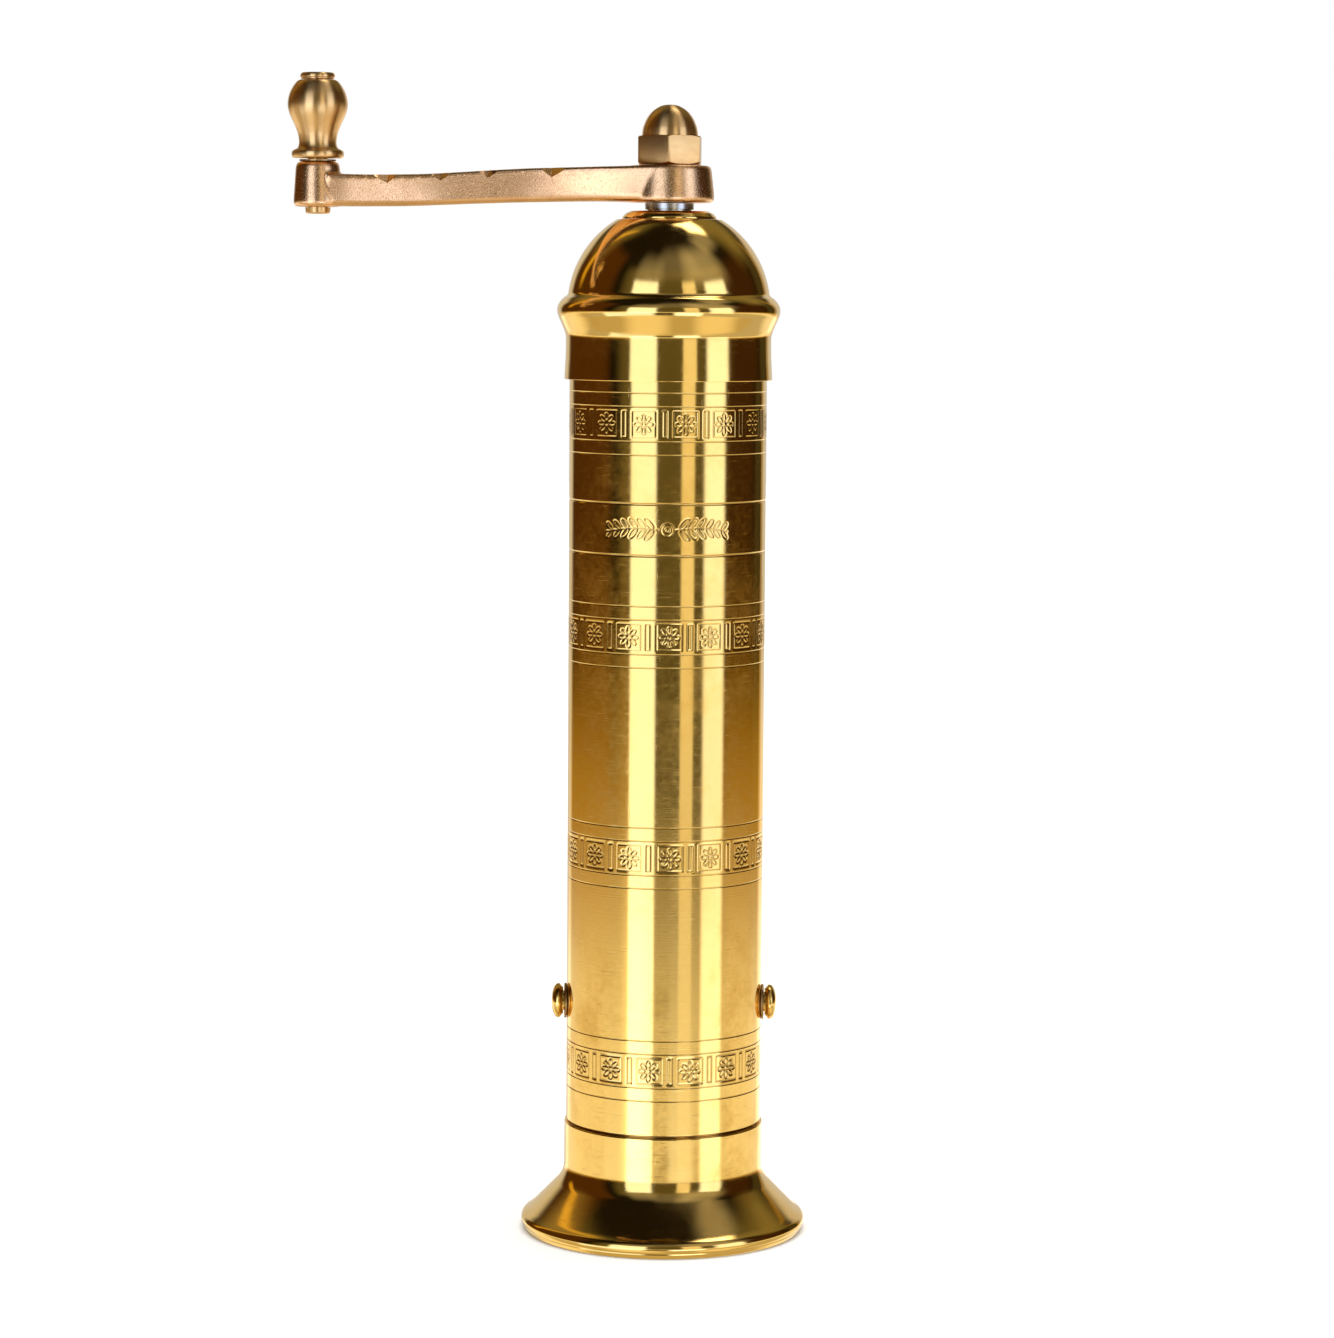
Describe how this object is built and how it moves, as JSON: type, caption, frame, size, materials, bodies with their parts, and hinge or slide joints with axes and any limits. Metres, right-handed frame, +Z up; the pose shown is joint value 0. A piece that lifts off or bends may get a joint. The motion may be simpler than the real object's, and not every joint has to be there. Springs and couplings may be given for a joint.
{
  "type": "hand crank spice mill",
  "caption": "Tall brass hand mill for coffee or pepper: flared foot, engraved barrel, lift-off domed cap, side crank with turning knob, and an adjustable conical burr.",
  "frame": {"origin": "middle of the bounding box at the height of the table, so the foot stands on z = 0; the spindle and the foot's centre are at x = 23.175 mm, y = 0, because the crank reaches out to one side", "axes": "+Z up along the spindle, -X from the spindle towards the crank knob at rest, -Y the front, +Y the short direction across the foot"},
  "size_m": [0.103, 0.0566, 0.2287],
  "materials": {
    "brass_polished": "polished, lightly tarnished, with engraved rings",
    "brass_turned": "turned and polished",
    "brass_cast": "cast, reddish, worn smooth with fine pits",
    "bush_bronze": "turned, dull",
    "steel": "machined, slightly dull",
    "burr_steel": "hardened, dark, ground teeth"
  },
  "bodies": {
    "body": {"foot": "brass_polished", "barrel_tube": "brass_polished", "outer_burr": "burr_steel", "upper_bridge": "steel", "lower_bridge": "steel", "guide_bush": "bush_bronze", "adjuster_bush": "bush_bronze", "burr_spring": "steel", "side_screw_right": "brass_turned", "saddle_washer_right": "brass_turned", "side_screw_left": "brass_turned", "saddle_washer_left": "brass_turned"},
    "thrust": {"thrust_ball": "steel"},
    "adjuster": {"adjuster_stem": "steel", "adjuster_wheel": "brass_turned"},
    "spindle": {"spindle": "steel", "inner_burr": "burr_steel", "burr_pin": "steel", "burr_thrust_washer": "steel"},
    "cap": {"dome_cap": "brass_polished", "cap_bush": "brass_turned", "cap_bush_nut": "brass_turned"},
    "crank": {"drive_sleeve": "steel", "crank_arm": "brass_cast", "acorn_nut": "brass_turned", "sleeve_washer": "steel", "sleeve_clip": "steel", "knob_pin": "brass_turned", "knob_washer": "bush_bronze"},
    "knob": {"knob": "brass_turned"}
  },
  "joints": [
    {"name": "grind_lift", "type": "slide", "parent": "body", "child": "thrust", "axis": [0, 0, 1], "range_m": [-0.001, 0.0005], "deforming": ["burr_spring"]},
    {"name": "adjuster_turn", "type": "hinge", "parent": "thrust", "child": "adjuster", "pos_m": [0.02318, 0, 0.022], "axis": [0, 0, 1], "range_deg": [-360, 180]},
    {"name": "spindle_turn", "type": "hinge", "parent": "thrust", "child": "spindle", "pos_m": [0.02318, 0, 0.046], "axis": [0, 0, 1], "continuous": true},
    {"name": "cap_lift", "type": "slide", "parent": "body", "child": "cap", "axis": [0, 0, 1], "range_m": [0, 0.04]},
    {"name": "crank_turn", "type": "hinge", "parent": "cap", "child": "crank", "pos_m": [0.02318, 0, 0.207], "axis": [0, 0, 1], "continuous": true},
    {"name": "knob_turn", "type": "hinge", "parent": "crank", "child": "knob", "pos_m": [-0.04562, 0, 0.219], "axis": [0, 0, 1], "continuous": true}
  ],
  "couplings": [
    {"joint": "adjuster_turn", "follows": "grind_lift", "rad_per_m": 6283.1},
    {"joint": "spindle_turn", "follows": "crank_turn", "ratio": 1}
  ]
}
